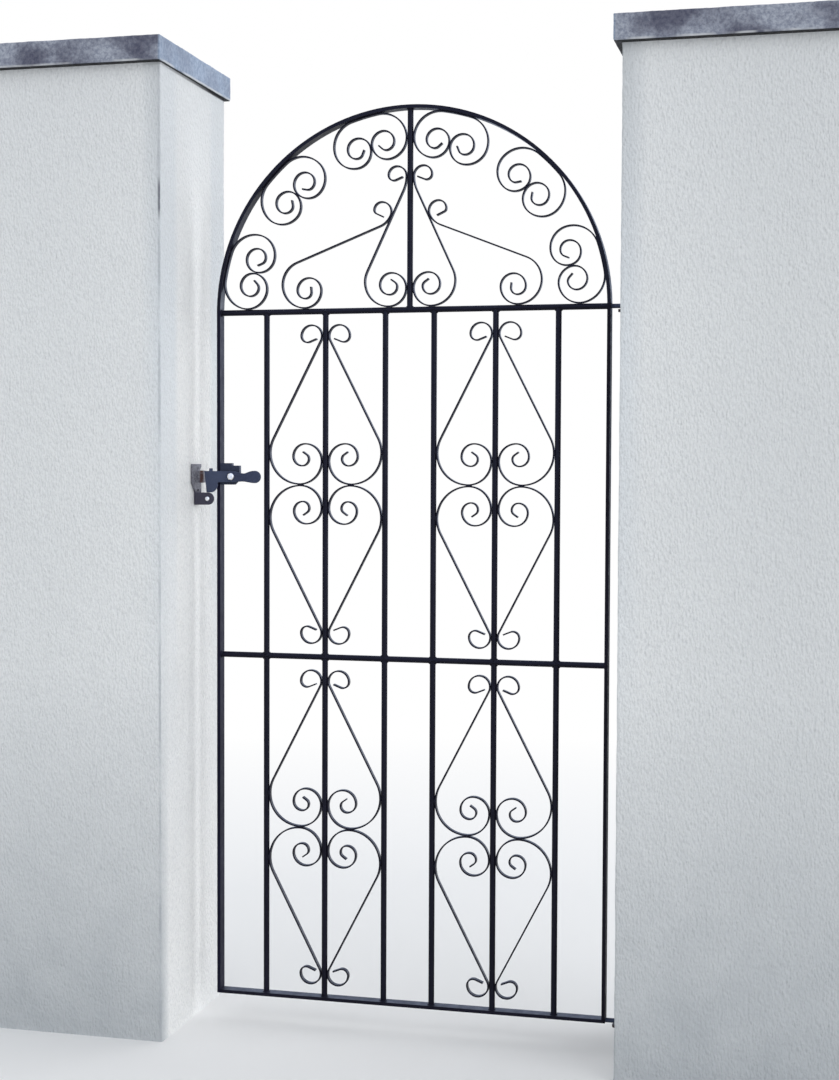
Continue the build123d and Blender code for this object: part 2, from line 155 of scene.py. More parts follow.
# %% [markdown]
# Shaping by hand in Blender is a matter of selecting and then working on the selection. These
# small helpers keep that tidy: pick what to work on, go in and out of edit mode with everything
# selected or nothing, join pieces, and settle a piece so that its place is in its mesh, as it is
# for a CAD piece.

# %% Helpers for shaping
def pick(*pieces):
    """Selects these pieces alone and makes the first one active."""
    if bpy.context.mode != "OBJECT":
        bpy.ops.object.mode_set(mode="OBJECT")
    bpy.ops.object.select_all(action="DESELECT")
    for piece in pieces:
        piece.select_set(True)
    bpy.context.view_layer.objects.active = pieces[0]
    return pieces[0]


def edit(everything=True):
    """Goes into edit mode with everything selected, or with what was selected already."""
    bpy.ops.object.mode_set(mode="EDIT")
    if everything:
        bpy.ops.mesh.select_all(action="SELECT")


def leave_edit():
    """Leaves edit mode with nothing selected."""
    bpy.ops.mesh.select_all(action="DESELECT")
    bpy.ops.object.mode_set(mode="OBJECT")


def join(pieces, name):
    """Makes one mesh of several."""
    whole = pick(*pieces)
    if len(pieces) > 1:
        bpy.ops.object.join()
    whole.name = name
    whole.data.name = name
    return whole


def settle(piece):
    """Puts a piece's place, turn and scale into its mesh."""
    pick(piece)
    bpy.ops.object.transform_apply(location=True, rotation=True, scale=True)
    return piece


def apply_all(piece):
    """Applies every modifier of a piece in order."""
    pick(piece)
    for modifier in list(piece.modifiers):
        bpy.ops.object.modifier_apply(modifier=modifier.name)
    return piece


def copy_of(piece, name):
    """A copy with its own mesh."""
    twin = piece.copy()
    twin.data = piece.data.copy()
    twin.name = name
    bpy.context.collection.objects.link(twin)
    return twin


def smooth(piece, degrees=40):
    """Smooth shading that keeps edges sharper than this angle."""
    pick(piece)
    bpy.ops.object.shade_smooth_by_angle(angle=math.radians(degrees))
    return piece


print("helpers ready")

# %% [markdown]
# A finish in Blender is a little network of nodes: small steps joined by links. Every finish here
# starts with the same two questions: where on the gate is this point, and what does a noise say
# there? The first helpers answer them. They read the object's own coordinates, so a pattern stays
# on its piece when the gate swings.

# %% Helpers that place a pattern
def shader_of(finish):
    """The main shader of a finish."""
    return finish.node_tree.nodes["Principled BSDF"]


def new_finish(name, colour, roughness=0.5, metallic=0.0):
    """A material whose colour and roughness are worked on afterwards."""
    finish = bpy.data.materials.new(name)
    finish.use_nodes = True
    shader = shader_of(finish)
    shader.inputs["Base Color"].default_value = (*colour, 1)
    shader.inputs["Roughness"].default_value = roughness
    shader.inputs["Metallic"].default_value = metallic
    return finish


def connect(finish, start, end):
    """Draws a link from one socket to another."""
    finish.node_tree.links.new(start, end)


def on_object(finish, stretch, shift):
    """The object's own coordinates, stretched and then moved."""
    tree = finish.node_tree.nodes
    place = tree.new("ShaderNodeTexCoord")
    mapping = tree.new("ShaderNodeMapping")
    mapping.inputs["Scale"].default_value = stretch
    mapping.inputs["Location"].default_value = shift
    connect(finish, place.outputs["Object"], mapping.inputs["Vector"])
    return mapping.outputs["Vector"]


def grain(finish, scale, detail=3.0, stretch=(1, 1, 1), roughness=0.5, shift=(0, 0, 0)):
    """Noise fixed to the object, with this many blotches to the metre."""
    noise = finish.node_tree.nodes.new("ShaderNodeTexNoise")
    noise.inputs["Scale"].default_value = scale
    noise.inputs["Detail"].default_value = detail
    noise.inputs["Roughness"].default_value = roughness
    connect(finish, on_object(finish, stretch, shift), noise.inputs["Vector"])
    return noise.outputs["Fac"]


def pebbles(finish, scale, stretch=(1, 1, 1)):
    """Rounded grains packed side by side, as in thrown render."""
    cells = finish.node_tree.nodes.new("ShaderNodeTexVoronoi")
    cells.feature = "SMOOTH_F1"
    cells.inputs["Scale"].default_value = scale
    cells.inputs["Smoothness"].default_value = 0.6
    connect(finish, on_object(finish, stretch, (0, 0, 0)), cells.inputs["Vector"])
    return cells.outputs["Distance"]


def along(finish, axis):
    """Where a point lies along X, Y or Z, in metres."""
    tree = finish.node_tree.nodes
    place = tree.new("ShaderNodeTexCoord")
    parts = tree.new("ShaderNodeSeparateXYZ")
    connect(finish, place.outputs["Object"], parts.inputs["Vector"])
    return parts.outputs[axis]


print("pattern helpers ready")

# %% [markdown]
# The other helpers work on what the first ones say. A band turns a stretch of metres, or the part
# of a noise that counts, into an amount from nothing to all. Amounts are multiplied where two
# things have to be true at once, and each amount then lays one colour over another, as a
# decorator works from the base coat to the dirt. Bumps have their depth in metres, as real relief
# does.

# %% Helpers that mix
def band(finish, value, low, high, at_low=0.0, at_high=1.0):
    """Stretches the part of a value between low and high over a new range."""
    spread = finish.node_tree.nodes.new("ShaderNodeMapRange")
    spread.inputs["From Min"].default_value = low
    spread.inputs["From Max"].default_value = high
    spread.inputs["To Min"].default_value = at_low
    spread.inputs["To Max"].default_value = at_high
    connect(finish, value, spread.inputs["Value"])
    return spread.outputs["Result"]


def times(finish, one, other):
    """One amount multiplied by another, or by a number."""
    product = finish.node_tree.nodes.new("ShaderNodeMath")
    product.operation = "MULTIPLY"
    for value, socket in zip((one, other), product.inputs):
        if isinstance(value, (int, float)):
            socket.default_value = value
        else:
            connect(finish, value, socket)
    return product.outputs[0]


def between(finish, value, start, full, fading, end):
    """All from full to fading, and nothing before the start or past the end."""
    return times(finish, band(finish, value, start, full), band(finish, value, end, fading))


def squared(finish, axis):
    """The square of the distance from the middle along an axis, the same on both sides."""
    return times(finish, along(finish, axis), along(finish, axis))


def tint(finish, amount, under, over):
    """Lays one colour over another where the amount is high."""
    mix = finish.node_tree.nodes.new("ShaderNodeMix")
    mix.data_type = "RGBA"
    connect(finish, amount, mix.inputs[0])
    for colour, socket in ((under, mix.inputs[6]), (over, mix.inputs[7])):
        if isinstance(colour, tuple):
            socket.default_value = (*colour, 1)
        else:
            connect(finish, colour, socket)
    return mix.outputs[2]


def layered(finish, base, *coats):
    """Lays coats over a base in turn, each an amount and a colour."""
    for amount, colour in coats:
        base = tint(finish, amount, base, colour)
    return base


def tint_value(finish, amount, under, over):
    """The same as tint, for a number such as roughness."""
    mix = finish.node_tree.nodes.new("ShaderNodeMix")
    mix.data_type = "FLOAT"
    connect(finish, amount, mix.inputs[0])
    connect(finish, under, mix.inputs[2])
    mix.inputs[3].default_value = over
    return mix.outputs[0]


def relief(finish, *layers):
    """Bumps, each a height and its depth in metres, laid over each other."""
    below = None
    for value, depth in layers:
        bump = finish.node_tree.nodes.new("ShaderNodeBump")
        bump.inputs["Distance"].default_value = depth
        bump.inputs["Strength"].default_value = 1.0
        connect(finish, value, bump.inputs["Height"])
        if below:
            connect(finish, below, bump.inputs["Normal"])
        below = bump.outputs["Normal"]
    connect(finish, below, shader_of(finish).inputs["Normal"])


def dress(piece, finish):
    """Gives a piece one finish."""
    piece.data.materials.clear()
    piece.data.materials.append(finish)


print("mixing helpers ready")

# %% [markdown]
# The steel is painted with a satin black that has gone slightly blue in the weather. The coat is
# blotchy, the sheen is uneven, and where the coat is thin a little rust shows. The colour is so
# dark that most of what is seen is the sheen, and that is why the stiles have paints of their
# own: they turn a broad flat side to the bright cloud, and the weather has dulled them. The latch
# is a paler blue, and the hinge eyes are half rust.

# %% Painted iron
rust = (0.11, 0.048, 0.022)
rust_roughness = 0.85
blue_sheen = (0.72, 0.8, 1.0, 1)


def painted(name, colour, worn_colour, rust_amount, roughness, gloss):
    """Satin paint on iron, with an uneven sheen and flecks of rust."""
    finish = new_finish(name, colour)
    shader = shader_of(finish)
    blotches = grain(finish, 9, 4)
    flecks = grain(finish, 420, 5, roughness=0.65)
    coat = tint(finish, band(finish, blotches, 0.35, 0.7), colour, worn_colour)
    rusty = times(
        finish,
        band(finish, flecks, 0.66 - rust_amount, 0.74 - rust_amount),
        band(finish, blotches, 0.45, 0.62),
    )
    connect(finish, tint(finish, rusty, coat, rust), shader.inputs["Base Color"])
    sheen = band(finish, grain(finish, 60, 3), 0.3, 0.75, roughness - 0.08, roughness + 0.1)
    connect(finish, tint_value(finish, rusty, sheen, rust_roughness), shader.inputs["Roughness"])
    shader.inputs["Specular IOR Level"].default_value = gloss
    shader.inputs["Specular Tint"].default_value = blue_sheen
    relief(finish, (grain(finish, 160, 2), 0.0003), (flecks, 0.0001))
    return finish


iron_paint = painted(
    "iron_paint",
    colour=(0.004, 0.0028, 0.007),
    worn_colour=(0.007, 0.0055, 0.0125),
    rust_amount=-0.02,
    roughness=0.4,
    gloss=0.19,
)
dull_iron_paint = painted(
    "dull_iron_paint",
    colour=(0.005, 0.0035, 0.006),
    worn_colour=(0.0085, 0.006, 0.011),
    rust_amount=0.0,
    roughness=0.5,
    gloss=0.14,
)
stile_paint = painted(
    "stile_paint",
    colour=(0.007, 0.0065, 0.016),
    worn_colour=(0.012, 0.0115, 0.026),
    rust_amount=-0.02,
    roughness=0.42,
    gloss=0.06,
)
bracket_paint = painted(
    "bracket_paint",
    colour=(0.022, 0.027, 0.046),
    worn_colour=(0.036, 0.044, 0.074),
    rust_amount=0.02,
    roughness=0.5,
    gloss=0.25,
)
fittings_paint = painted(
    "fittings_paint",
    colour=(0.032, 0.04, 0.073),
    worn_colour=(0.058, 0.072, 0.122),
    rust_amount=0.0,
    roughness=0.5,
    gloss=0.25,
)
hinge_paint = painted(
    "hinge_paint",
    colour=(0.04, 0.03, 0.027),
    worn_colour=(0.09, 0.055, 0.04),
    rust_amount=0.1,
    roughness=0.55,
    gloss=0.3,
)
paints = (iron_paint, dull_iron_paint, stile_paint, bracket_paint, fittings_paint, hinge_paint)
print("paints", [paint.name for paint in paints])

# %% [markdown]
# The keeper has lost most of its paint. Its plate is dull grey with paler scuffs, its leg is
# brown with rust, and the lug below, which the beak rests on, is still dark. The three are told
# apart by where they lie: the lug by its height, and the leg by how far it stands out from the
# pier.

# %% Keeper finish
lug_top = 1.11
leg_start = -0.449

keeper_finish = new_finish("keeper_finish", (0.1, 0.1, 0.12), 0.6)
keeper_height = along(keeper_finish, "Z")
scuffs = grain(keeper_finish, 220, 5, roughness=0.7)
scuffed = band(keeper_finish, scuffs, 0.38, 0.66)
on_lug = band(keeper_finish, keeper_height, lug_top, lug_top - 0.007)
on_leg = times(
    keeper_finish,
    band(keeper_finish, along(keeper_finish, "X"), leg_start, leg_start + 0.003),
    band(keeper_finish, keeper_height, lug_top, lug_top + 0.005),
)
rust_flakes = band(keeper_finish, grain(keeper_finish, 150, 5, roughness=0.7), 0.3, 0.5)
worn = layered(
    keeper_finish,
    tint(keeper_finish, scuffed, (0.07, 0.07, 0.095), (0.27, 0.27, 0.3)),
    (on_lug, (0.046, 0.043, 0.066)),
    (times(keeper_finish, on_leg, rust_flakes), (0.075, 0.035, 0.03)),
)
keeper_shader = shader_of(keeper_finish)
connect(keeper_finish, worn, keeper_shader.inputs["Base Color"])
dullness = band(keeper_finish, scuffs, 0.3, 0.7, 0.5, 0.75)
connect(keeper_finish, dullness, keeper_shader.inputs["Roughness"])
keeper_shader.inputs["Specular IOR Level"].default_value = 0.3
relief(keeper_finish, (scuffs, 0.0003))
print("keeper finish ready")

# %% [markdown]
# The bolts are zinc plated. Zinc is a pale metal with a frosty surface: a high metallic value, a
# middling roughness that varies in spangles, and a duller bloom in places. The small bolt in the
# keeper is newer and still bright all over, so it needs no pattern.

# %% Zinc
zinc = new_finish("zinc", (0.88, 0.87, 0.85), roughness=0.35, metallic=1.0)
bloom = band(zinc, grain(zinc, 300, 3), 0.45, 0.65)
plating = tint(zinc, bloom, (0.93, 0.91, 0.88), (0.72, 0.71, 0.69))
spangles = band(zinc, grain(zinc, 500, 2), 0.3, 0.7, 0.25, 0.5)
connect(zinc, plating, shader_of(zinc).inputs["Base Color"])
connect(zinc, spangles, shader_of(zinc).inputs["Roughness"])
relief(zinc, (grain(zinc, 700, 2), 0.0001))
bright_zinc = new_finish("bright_zinc", (0.98, 0.98, 0.98), roughness=0.4, metallic=1.0)
print("zinc ready")

# %% [markdown]
# The piers are thrown with a fine-grained cement render and painted off-white. The coat of paint
# comes first. The faces inside the gateway are painted palest, as painted light from the bright
# cloud on the right, and near their edges higher up a blue-grey band is painted shade, where the
# sky light is cooler. The fronts and backs are greyer away from the gateway, more so on the right
# pier, and greyest at the wall's ends. Where a face lies is read from X and Y, and a square does
# it for both piers, or for front and back, at once.

# %% Render: the coat of paint
render = new_finish("render", (0.76, 0.78, 0.77), 0.9)
sideways = along(render, "X")
height = along(render, "Z")
from_centre = squared(render, "X")
from_gate = squared(render, "Y")

within_depth = band(render, from_gate, 0.178**2, 0.14**2)
beside_gateway = band(render, from_centre, 0.5**2, 0.465**2)
faces_outside_gateway = band(render, times(render, within_depth, beside_gateway), 1.0, 0.0)
near_gateway = times(render, band(render, from_centre, 0.7**2, 0.47**2), faces_outside_gateway)
patches = times(render, band(render, grain(render, 2.2, 4), 0.35, 0.7), 0.4)
near_edge = times(render, band(render, from_gate, 0.085**2, 0.11**2), beside_gateway)
# Painted shade: a blue-grey band near the front and back edges of the inner faces, higher up.
painted_blue_shade = times(render, times(render, near_edge, band(render, height, 0.5, 1.5)), 0.8)
right_hand = band(render, sideways, 0.44, 0.78, 0.0, 0.47)
wall_ends = band(render, from_centre, 0.87**2, 0.9**2, 0.0, 0.7)

# Painted light: the faces inside the gateway are painted paler than the fronts and backs.
paint_coat = layered(
    render,
    tint(render, faces_outside_gateway, (0.89, 0.895, 0.895), (0.78, 0.8, 0.81)),
    (near_gateway, (0.82, 0.838, 0.848)),
    (patches, (0.74, 0.76, 0.78)),
    (painted_blue_shade, (0.71, 0.755, 0.8)),
    (right_hand, (0.65, 0.67, 0.685)),
    (wall_ends, (0.58, 0.6, 0.62)),
)
print("coat of paint ready")

# %% [markdown]
# Close up the skin is a crowd of grains some four millimetres across and twice as tall, where the
# float was drawn upwards, lying on slow waves. The grains are bumps in the material, and the
# waves are real geometry, which comes later. The pores between the grains are darker, all faces
# grow greyer towards the copings, and dirt splashes low down on the faces that the rain hits.
# High on the inner faces beside the gateway the render carries painted shade, darkest under the
# slab.

# %% Render: grains, dirt and painted shade
grains = pebbles(render, 230, stretch=(1, 1, 0.5))
fine_grains = grain(render, 400, 3, stretch=(1, 1, 0.6))

below_coping = band(render, height, 1.45, 1.95, 0.0, 0.25)
# Painted shade: high up on the inner faces beside the gateway, darkest just under the slab.
painted_shade_under_slab = times(render, band(render, height, 1.4, 1.95, 0.0, 0.65), beside_gateway)
in_pores = times(render, band(render, grains, 0.42, 0.75), 0.2)
specks = times(render, band(render, fine_grains, 0.52, 0.66), 0.35)
rising = times(render, band(render, height, 0.75, 0.0), faces_outside_gateway)
splash = times(render, rising, band(render, grain(render, 11, 5), 0.3, 0.7, 0.68, 0.9))

dirty_coat = layered(
    render,
    paint_coat,
    (below_coping, (0.58, 0.6, 0.63)),
    (painted_shade_under_slab, (0.52, 0.54, 0.56)),
    (in_pores, (0.56, 0.58, 0.6)),
    (specks, (0.54, 0.56, 0.59)),
    (splash, (0.4, 0.43, 0.46)),
)
relief(
    render,
    (grain(render, 60, 3), 0.0008),
    (band(render, grains, 0.0, 0.8, 1.0, 0.0), 0.0016),
    (fine_grains, 0.0014),
)
print("grains and dirt ready")

# %% [markdown]
# The left pier's upright edge beside the gateway, its arris, is chipped, and a short crack shows
# on it at about head height. Under the left coping, beside the gateway, a nearly black band is
# painted as the shadow in the gap beneath the slab, deeper towards the back. All three are
# narrow, so they are colour alone.

# %% Render: chips, crack and painted shadow under the coping
on_arris = times(
    render,
    between(render, sideways, -0.4645, -0.462, -0.459, -0.457),
    band(render, from_gate, 0.1785**2, 0.1805**2),
)
chips = times(render, on_arris, band(render, grain(render, 9, 4), 0.45, 0.6, 0.2, 0.6))
crack = times(render, on_arris, between(render, height, 1.64, 1.665, 1.705, 1.735))
# Painted shadow: a nearly black band under the left coping beside the gateway, deeper towards the
# back.
painted_shadow_gap = times(
    render,
    times(render, band(render, height, 1.944, 1.9465), beside_gateway),
    band(render, along(render, "Y"), -0.15, 0.1, 0.2, 1.0),
)
finished_coat = layered(
    render,
    dirty_coat,
    (chips, (0.36, 0.38, 0.42)),
    (crack, (0.18, 0.19, 0.22)),
    (painted_shadow_gap, (0.03, 0.03, 0.035)),
)
connect(render, finished_coat, shader_of(render).inputs["Base Color"])
shader_of(render).inputs["Specular IOR Level"].default_value = 0.25
print("render ready")

# %% [markdown]
# The copings are slate, blue-grey and clean where they face the gateway. Everywhere else they are
# clouded with dark damp patches as wide as a hand. A pale line of mortar runs along the bottom
# edge, and the underside is painted nearly black as painted shade. Each slab has a finish of its
# own, because its clean face, its height and its clouds lie elsewhere.

# %% Slate
def slate_finish(name, bottom, gateway_face, away, shift):
    """Slate for a slab with this underside, and this face towards the gateway.

    Away is 1 where the slab lies to the right of its clean face and -1 to the left of it, and the
    shift moves the clouds over the slab.
    """
    slate = new_finish(name, (0.2, 0.22, 0.27), 0.6)
    slab_height = along(slate, "Z")
    clouds = grain(slate, 11, 5, stretch=(1, 1, 1.4), roughness=0.52, shift=shift)
    mottle = grain(slate, 130, 5, roughness=0.7)
    leaves = grain(slate, 40, 4, stretch=(1, 1, 6))

    mottled = band(slate, mottle, 0.38, 0.62)
    clean = tint(slate, mottled, (0.165, 0.218, 0.31), (0.305, 0.37, 0.475))
    weathered = tint(slate, mottled, (0.195, 0.215, 0.275), (0.375, 0.405, 0.475))
    wet = tint(slate, mottled, (0.05, 0.052, 0.085), (0.105, 0.108, 0.15))

    weather_from = gateway_face + away * 0.003
    weather_full = gateway_face + away * 0.006
    exposed = band(slate, along(slate, "X"), weather_from, weather_full)
    wettable = band(slate, exposed, 0.0, 1.0, 0.35, 1.0)
    damp = times(slate, wettable, band(slate, clouds, 0.61, 0.37, 0.0, 0.95))
    mortar_line = band(slate, slab_height, bottom + 0.0055, bottom + 0.003)
    mortar = times(slate, mortar_line, band(slate, grain(slate, 14, 4), 0.42, 0.55))
    # Painted shade: the underside of the slab is painted nearly black.
    underside = band(slate, slab_height, bottom + 0.0012, bottom + 0.0004)

    stone = layered(
        slate,
        clean,
        (exposed, weathered),
        (damp, wet),
        (times(slate, mortar, 0.75), (0.6, 0.62, 0.64)),
        (underside, (0.008, 0.008, 0.01)),
    )
    shader = shader_of(slate)
    connect(slate, stone, shader.inputs["Base Color"])
    connect(slate, band(slate, mottle, 0.3, 0.7, 0.5, 0.75), shader.inputs["Roughness"])
    shader.inputs["Specular IOR Level"].default_value = 0.3
    relief(slate, (leaves, 0.0005), (mottle, 0.0008))
    return slate


slates = {}
left_low, left_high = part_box("left_coping")
slates["left"] = slate_finish(
    "left_slate",
    bottom=left_low[2],
    gateway_face=left_high[0],
    away=-1,
    shift=(1.42, 0.27, 2.8),
)
right_low, right_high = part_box("right_coping")
slates["right"] = slate_finish(
    "right_slate",
    bottom=right_low[2],
    gateway_face=right_low[0],
    away=1,
    shift=(0.87, 2.9, 2.33),
)
print("slates", list(slates))

# %% [markdown]
# The floor is a plain pale sheet, so that nothing distracts from the gate. It keeps the soft
# shadow under the piers, and further out it fades into the white behind it. Only the camera sees
# it so pale: to every other ray it is a light concrete, so that it throws less light back up.

# %% Floor
fade_start = 1.3
fade_end = 4.0
pale_sheet = (0.86, 0.86, 0.86)
light_concrete = (0.66, 0.66, 0.65)

paper = new_finish("paper", pale_sheet, 0.9)
floor.data.materials.append(paper)
paper_nodes = paper.node_tree.nodes
from_middle = paper_nodes.new("ShaderNodeVectorMath")
from_middle.operation = "LENGTH"
paper_place = paper_nodes.new("ShaderNodeTexCoord")
connect(paper, paper_place.outputs["Object"], from_middle.inputs[0])
fade = band(paper, from_middle.outputs["Value"], fade_start, fade_end)
camera_ray = paper_nodes.new("ShaderNodeLightPath").outputs["Is Camera Ray"]
sheet_colour = tint(paper, camera_ray, light_concrete, pale_sheet)
connect(paper, sheet_colour, shader_of(paper).inputs["Base Color"])
glow = paper_nodes.new("ShaderNodeEmission")
blend = paper_nodes.new("ShaderNodeMixShader")
connect(paper, times(paper, fade, camera_ray), blend.inputs[0])
connect(paper, shader_of(paper).outputs[0], blend.inputs[1])
connect(paper, glow.outputs[0], blend.inputs[2])
connect(paper, blend.outputs[0], paper_nodes["Material Output"].inputs["Surface"])
print("floor fades to white from", fade_start, "m to", fade_end, "m")

# %% [markdown]
# Most of the steel keeps its CAD shape: bars, rails and scrolls are rolled sections with crisp
# edges. Each one only gets its paint, by the slot that the record names for it. A few pieces then
# get a paint of their own.

# %% Paint the steel
slot_finishes = {"painted_iron": iron_paint, "painted_fittings": fittings_paint, "zinc": zinc}
finish_of_node = {}
for part in frame["record"]["subparts"]:
    if part["material_slot"] in slot_finishes:
        finish_of_node[part["node"]] = slot_finishes[part["material_slot"]]
finish_of_node["hinge_stile"] = dull_iron_paint
finish_of_node["latch_stile"] = stile_paint
finish_of_node["upper_hinge_eye"] = hinge_paint
finish_of_node["lower_hinge_eye"] = hinge_paint
for name, finish in finish_of_node.items():
    nodes[name].data.materials.clear()
    nodes[name].data.materials.append(finish)
print("painted", len(finish_of_node), "pieces")

# %% [markdown]
# A pier's skin is modelled as a box of fine grids. Six grids of small squares are laid over the
# pier's faces and merged, and its upright corners are bevelled a few millimetres. Displace
# modifiers with cloud patterns then press the skin in, by less than three millimetres in all.
# They only press inwards, so the pier keeps its drawn size. A vertex group holds the foot flat on
# the ground and the top flat under the coping.

# %% Helpers for skins
touching = 1e-4


def grid_box(low, high, step, name):
    """A closed box whose faces are grids of squares about a step wide."""
    sheets = []
    size = [b - a for a, b in zip(low, high)]
    middle = [(a + b) / 2 for a, b in zip(low, high)]
    count = [max(1, round(length / step)) for length in size]
    quarter = math.pi / 2
    for first, second, normal, turn in (
        (0, 1, 2, (0, 0, 0)),
        (0, 2, 1, (quarter, 0, 0)),
        (2, 1, 0, (0, quarter, 0)),
    ):
        for end in (low[normal], high[normal]):
            place = list(middle)
            place[normal] = end
            bpy.ops.mesh.primitive_grid_add(
                x_subdivisions=count[first],
                y_subdivisions=count[second],
                size=1,
                location=place,
                rotation=turn,
            )
            sheet = bpy.context.object
            sheet.scale = (size[first], size[second], 1)
            sheets.append(settle(sheet))
    box = join(sheets, name)
    edit()
    bpy.ops.mesh.remove_doubles(threshold=touching)
    bpy.ops.mesh.normals_make_consistent(inside=False)
    leave_edit()
    return box


def soften_edges(piece, wanted, width, segments=2):
    """Bevels the edges whose two ends both pass a test."""
    pick(piece)
    mesh = piece.data
    for edge in mesh.edges:
        ends = [mesh.vertices[index].co for index in edge.vertices]
        edge.select = all(wanted(end) for end in ends)
    edit(everything=False)
    bpy.ops.mesh.bevel(offset=width, segments=segments, affect="EDGES")
    leave_edit()


def press(piece, name, blotch, depth, held=None):
    """Presses a skin in by up to a depth, in blotches so wide, but not where it is held."""
    clouds = bpy.data.textures.new(name, "CLOUDS")
    clouds.noise_scale = blotch
    clouds.noise_depth = 2
    dent = piece.modifiers.new(name, "DISPLACE")
    dent.texture = clouds
    dent.texture_coords = "LOCAL"
    dent.mid_level = 1.0
    dent.strength = depth
    if held:
        free = piece.vertex_groups.new(name=name)
        loose = [vertex.index for vertex in piece.data.vertices if not held(vertex.co)]
        free.add(loose, 1.0, "REPLACE")
        dent.vertex_group = name
    apply_all(piece)


print("skin helpers ready")

# %% [markdown]
# Each pier's skin starts from the box of its CAD piece. Slow waves from the trowel come first and
# small ripples on top of them. The skin then stands for the plain CAD pier, which is hidden.

# %% Skin of the piers
skin_step = 0.0075
arris_width = 0.004
wave_size, wave_depth = 0.06, 0.0018
ripple_size, ripple_depth = 0.012, 0.001

for side in ("left", "right"):
    low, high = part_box(f"{side}_pier")
    skin = grid_box(low, high, skin_step, f"{side}_render")

    def on_corner(place):
        beside_x = min(abs(place.x - low[0]), abs(place.x - high[0])) < touching
        beside_y = min(abs(place.y - low[1]), abs(place.y - high[1])) < touching
        return beside_x and beside_y

    def on_foot_or_top(place):
        return place.z < touching or place.z > high[2] - touching

    soften_edges(skin, on_corner, arris_width)
    press(skin, "trowel_waves", wave_size, wave_depth, held=on_foot_or_top)
    press(skin, "grain_waves", ripple_size, ripple_depth, held=on_foot_or_top)
    smooth(skin, 60)
    dress(skin, render)
    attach(skin, "masonry")
    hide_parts(f"{side}_pier")
    print(skin.name, len(skin.data.polygons), "faces")

# %% [markdown]
# The coping slabs lie flat on their piers and are riven everywhere else. A finer grid, a soft
# bevel round the rim and two sizes of dents give the chipped edge and the slightly wavy top of
# real slate.

# %% Slate copings
slab_step = 0.0065
rim_width = 0.003
riven_size, riven_depth = 0.05, 0.0016
chip_size, chip_depth = 0.009, 0.0012

for side in ("left", "right"):
    low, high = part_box(f"{side}_coping")
    slab = grid_box(low, high, slab_step, f"{side}_slate")

    def on_rim(place):
        gaps = [min(abs(at - start), abs(at - end)) for at, start, end in zip(place, low, high)]
        return sum(gap < touching for gap in gaps) >= 2

    def on_bed(place):
        return place.z < low[2] + touching

    soften_edges(slab, on_rim, rim_width)
    press(slab, "riven_waves", riven_size, riven_depth, held=on_bed)
    press(slab, "chips", chip_size, chip_depth, held=on_bed)
    smooth(slab, 60)
    dress(slab, slates[side])
    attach(slab, "masonry")
    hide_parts(f"{side}_coping")
    print(slab.name, len(slab.data.polygons), "faces")

# %% [markdown]
# Forged and sawn fittings never have knife edges. Each one is a copy of its CAD mesh, whose loose
# triangles are merged and dissolved into clean faces, and then bevelled by under a millimetre, so
# that its edges catch the light. The plain pieces between them keep the drawing's edges.

# %% Forged fittings
flat_within = 1
sharp_from = 35


def softened(node_name, name, width, finish, body):
    """A copy of a CAD piece with softened edges that stands for it."""
    piece = copy_of(nodes[node_name], name)
    piece.parent = None
    pick(piece)
    edit()
    bpy.ops.mesh.remove_doubles(threshold=0.00001)
    bpy.ops.mesh.dissolve_limited(angle_limit=math.radians(flat_within))
    bpy.ops.mesh.normals_make_consistent(inside=False)
    leave_edit()
    soften = piece.modifiers.new("soften", "BEVEL")
    soften.width = width
    soften.segments = 3
    soften.limit_method = "ANGLE"
    soften.angle_limit = math.radians(sharp_from)
    apply_all(piece)
    smooth(piece, sharp_from)
    dress(piece, finish)
    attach(piece, body)
    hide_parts(node_name)
    return piece


lever = softened(
    "latch_lever", "forged_lever", 0.0009, fittings_paint, "lever"
)
keeper = softened(
    "latch_keeper", "forged_keeper", 0.0006, keeper_finish, "masonry"
)
bracket = softened(
    "latch_bracket", "sawn_bracket", 0.0007, bracket_paint, "leaf"
)
small_bolt = softened("keeper_bolt", "small_bolt", 0.0008, bright_zinc, "masonry")
fittings = (lever, keeper, bracket, small_bolt)
print("faces of the fittings", [len(piece.data.polygons) for piece in fittings])

# %% [markdown]
# Every bar is welded to the rails that it meets. A weld round a bar's end is a ring of molten
# metal that has crept a few millimetres up the bar and along the rail. It starts as a thin ring
# and, where the rail is round, is bent down at front and back to follow it. One flat ring and one
# bent ring are modelled, and each weld is a copy of one of them, mirrored where it hangs under a
# rail. A mirrored mesh is inside out, so the faces are made to point outwards again at the end.

# %% Patterns for the weld rings
bar_radius = 0.006
bead = 0.0024
bead_rise = 0.15
top_rail_z = 1.4743
middle_rail_z = 0.7639
bottom_rail_z = 0.0535
rail_half = 0.0035
gate_y = 0.0175


def ring_pattern(saddled):
    """One ring of weld that faces up, flat or saddled to sit on a round rail."""
    bpy.ops.mesh.primitive_torus_add(
        major_radius=bar_radius + bead * bead_rise,
        minor_radius=bead,
        major_segments=28,
        minor_segments=8,
    )
    ring = bpy.context.object
    if saddled:
        for vertex in ring.data.vertices:
            reach = min(abs(vertex.co.y), bar_radius)
            vertex.co.z -= bar_radius - math.sqrt(bar_radius**2 - reach**2)
    return ring


def weld_ring(pattern, place, facing=1, turn=0.0):
    """A copy of a ring at a place, facing up (1) or down (-1), and turned about Y."""
    ring = copy_of(pattern, "weld")
    ring.scale = (1, 1, facing)
    ring.rotation_euler = (0, turn, 0)
    ring.location = place
    return settle(ring)


flat_ring = ring_pattern(saddled=False)
saddled_ring = ring_pattern(saddled=True)
print("two patterns of", len(flat_ring.data.polygons), "faces each")

# %% [markdown]
# Each bar meets the bottom rail, both sides of the middle rail and the top rail, so it gets four
# rings. The centre bar of the arch gets one at each end. Where the bars stand is read from the
# boxes of their CAD pieces.

